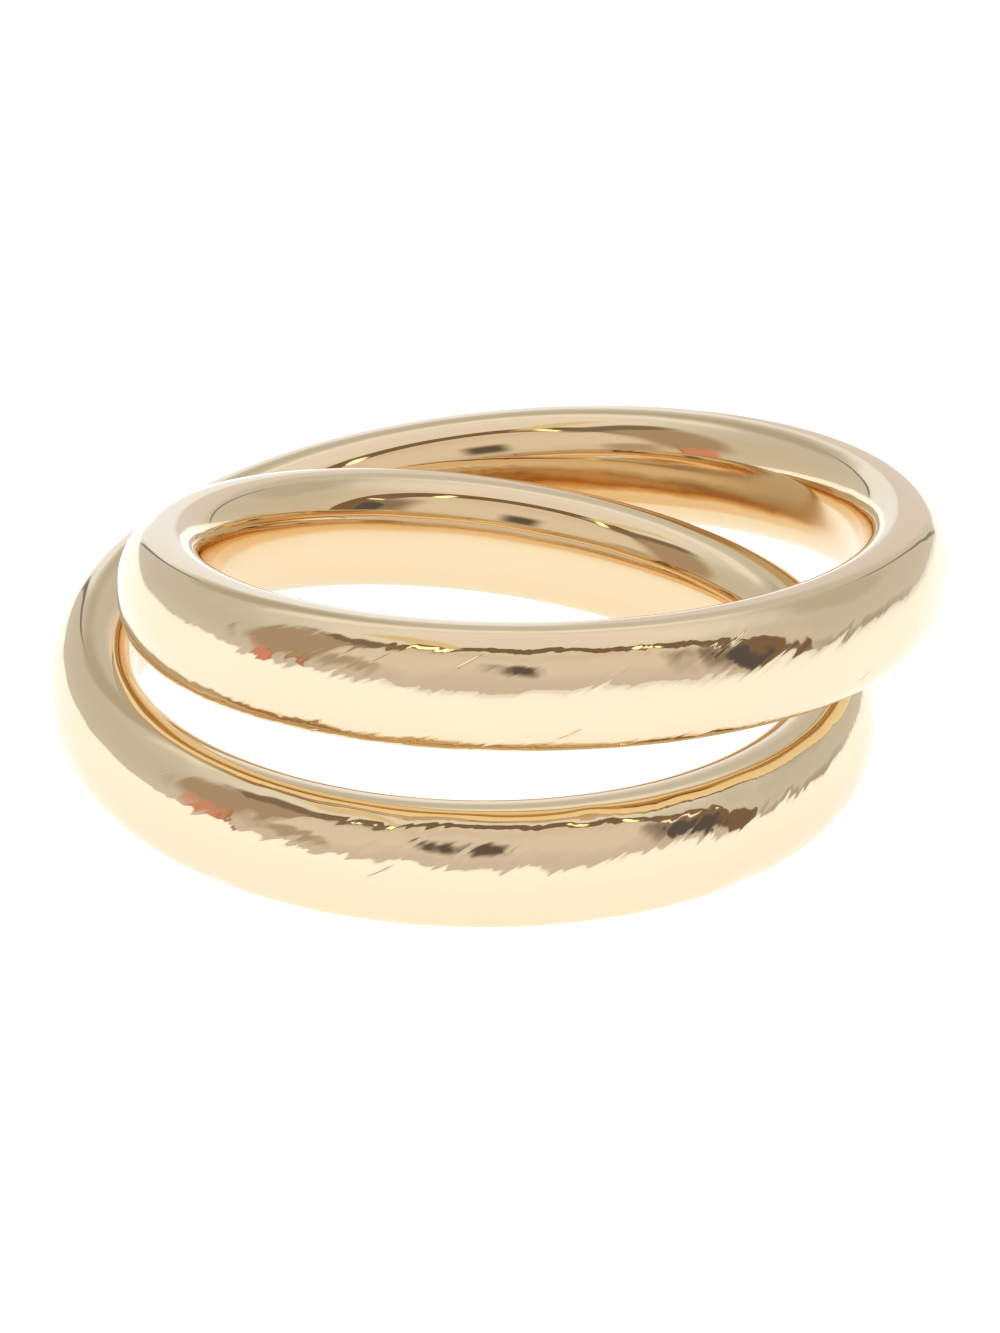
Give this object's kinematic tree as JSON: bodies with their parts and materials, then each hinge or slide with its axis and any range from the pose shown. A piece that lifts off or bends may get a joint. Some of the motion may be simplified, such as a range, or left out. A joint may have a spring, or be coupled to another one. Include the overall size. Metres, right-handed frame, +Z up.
{
  "type": "double-wound gold band ring",
  "caption": "Finger ring made of a single smooth gold band that winds round and closes on itself, its turns stacked at the front and nested at the back.",
  "frame": {"origin": "on the surface the ring lies on, under the middle of its outline", "axes": "+Z up, about 5 degrees off the ring's own axis, which leans back as the ring rests on the sides of its lower turn; -Y towards the front, where the turns lie one above the other; +X to the right seen from the front"},
  "size_m": [0.0262, 0.0262, 0.009],
  "materials": {
    "gold": "mirror polished, with fine wear on the outer faces"
  },
  "bodies": {
    "root": {"band": "gold"}
  },
  "joints": []
}
